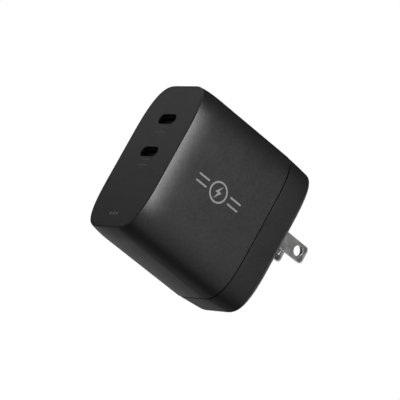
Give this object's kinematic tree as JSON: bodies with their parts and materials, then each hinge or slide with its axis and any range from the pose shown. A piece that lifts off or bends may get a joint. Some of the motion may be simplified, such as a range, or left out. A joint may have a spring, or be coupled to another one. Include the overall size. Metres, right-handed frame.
{
  "type": "usb wall charger",
  "caption": "Tall rounded wall charger block with small reversible sockets on its front face and flat blades that fold out of its wall face.",
  "frame": {"origin": "on the wall face, midway between the two blades", "axes": "+Y into the wall along the unfolded blades, +Z towards the end with the ports, +X across the thickness"},
  "size_m": [0.033, 0.0719, 0.059],
  "materials": {
    "housing_plastic": "satin black, very fine grain",
    "face_plastic": "matte black",
    "cover_plastic": "matte black, a shade darker",
    "cradle_plastic": "matte black",
    "rotor_plastic": "matte black",
    "nickel_plate": "nickel-plated brass, satin",
    "zinc_steel": "zinc-plated",
    "spring_steel": "bright spring steel",
    "contact_bronze": "bare bronze",
    "shell_steel": "darkened steel",
    "tongue_plastic": "black liquid-crystal polymer",
    "gold_contacts": "gold flash",
    "circuit_board": "green solder mask",
    "insulator_film": "fish paper",
    "spreader_aluminium": "mill finish",
    "thermal_silicone": "soft pad",
    "ferrite": "sintered grey",
    "bobbin_plastic": "black phenolic",
    "copper_wire": "enamelled copper",
    "amber_tape": "polyimide tape",
    "inductor_sleeve": "shrink sleeve",
    "pressed_powder": "pressed metal powder",
    "capacitor_sleeve": "dark film sleeve on a can",
    "capacitor_can": "bare can",
    "yellow_case": "moulded case",
    "blue_disc": "lacquered disc",
    "green_disc": "lacquered disc",
    "fuse_body": "ceramic tan",
    "white_case": "moulded case",
    "chip_epoxy": "black epoxy",
    "red_insulation": "PVC sleeve",
    "white_insulation": "PVC sleeve"
  },
  "bodies": {
    "housing": {"housing_sleeve": "housing_plastic", "front_plate": "face_plastic", "rear_cover": "cover_plastic", "wall_plate": "cover_plastic", "plug_cradle": "cradle_plastic", "plug_retainer": "cradle_plastic", "retainer_screws": "zinc_steel", "detent_spring": "spring_steel", "contact_spring_left": "contact_bronze", "contact_spring_right": "contact_bronze", "port_board": "circuit_board", "port_shell_upper": "shell_steel", "port_shell_lower": "shell_steel", "port_tongue_upper": "tongue_plastic", "port_tongue_lower": "tongue_plastic", "port_contacts_upper": "gold_contacts", "port_contacts_lower": "gold_contacts", "buck_inductor_upper": "pressed_powder", "buck_inductor_lower": "pressed_powder", "protocol_chip_upper": "chip_epoxy", "protocol_chip_lower": "chip_epoxy", "main_board": "circuit_board", "insulator_sheet": "insulator_film", "heat_spreader": "spreader_aluminium", "thermal_pad": "thermal_silicone", "transformer_core_lower": "ferrite", "transformer_core_upper": "ferrite", "transformer_bobbin": "bobbin_plastic", "transformer_winding": "copper_wire", "transformer_tape": "amber_tape", "bulk_capacitor_1": "capacitor_sleeve", "bulk_capacitor_2": "capacitor_sleeve", "bulk_capacitor_3": "capacitor_sleeve", "output_capacitor_1": "capacitor_can", "output_capacitor_2": "capacitor_can", "choke_base": "bobbin_plastic", "choke_core": "ferrite", "choke_winding_left": "copper_wire", "choke_winding_right": "copper_wire", "line_inductor": "inductor_sleeve", "x_capacitor": "yellow_case", "y_capacitor": "blue_disc", "fuse": "fuse_body", "thermistor": "green_disc", "optocoupler": "white_case", "bridge_rectifier": "chip_epoxy", "switch_chip": "chip_epoxy", "controller_chip": "chip_epoxy", "rectifier_chip": "chip_epoxy", "wire_live": "red_insulation", "wire_neutral": "white_insulation"},
    "plug": {"plug_rotor": "rotor_plastic", "blade_left": "nickel_plate", "blade_right": "nickel_plate"}
  },
  "joints": [
    {"name": "plug_fold", "type": "hinge", "parent": "housing", "child": "plug", "pos_m": [0, -0.0046, 0], "axis": [-1, 0, 0], "range_deg": [0, 90]}
  ]
}
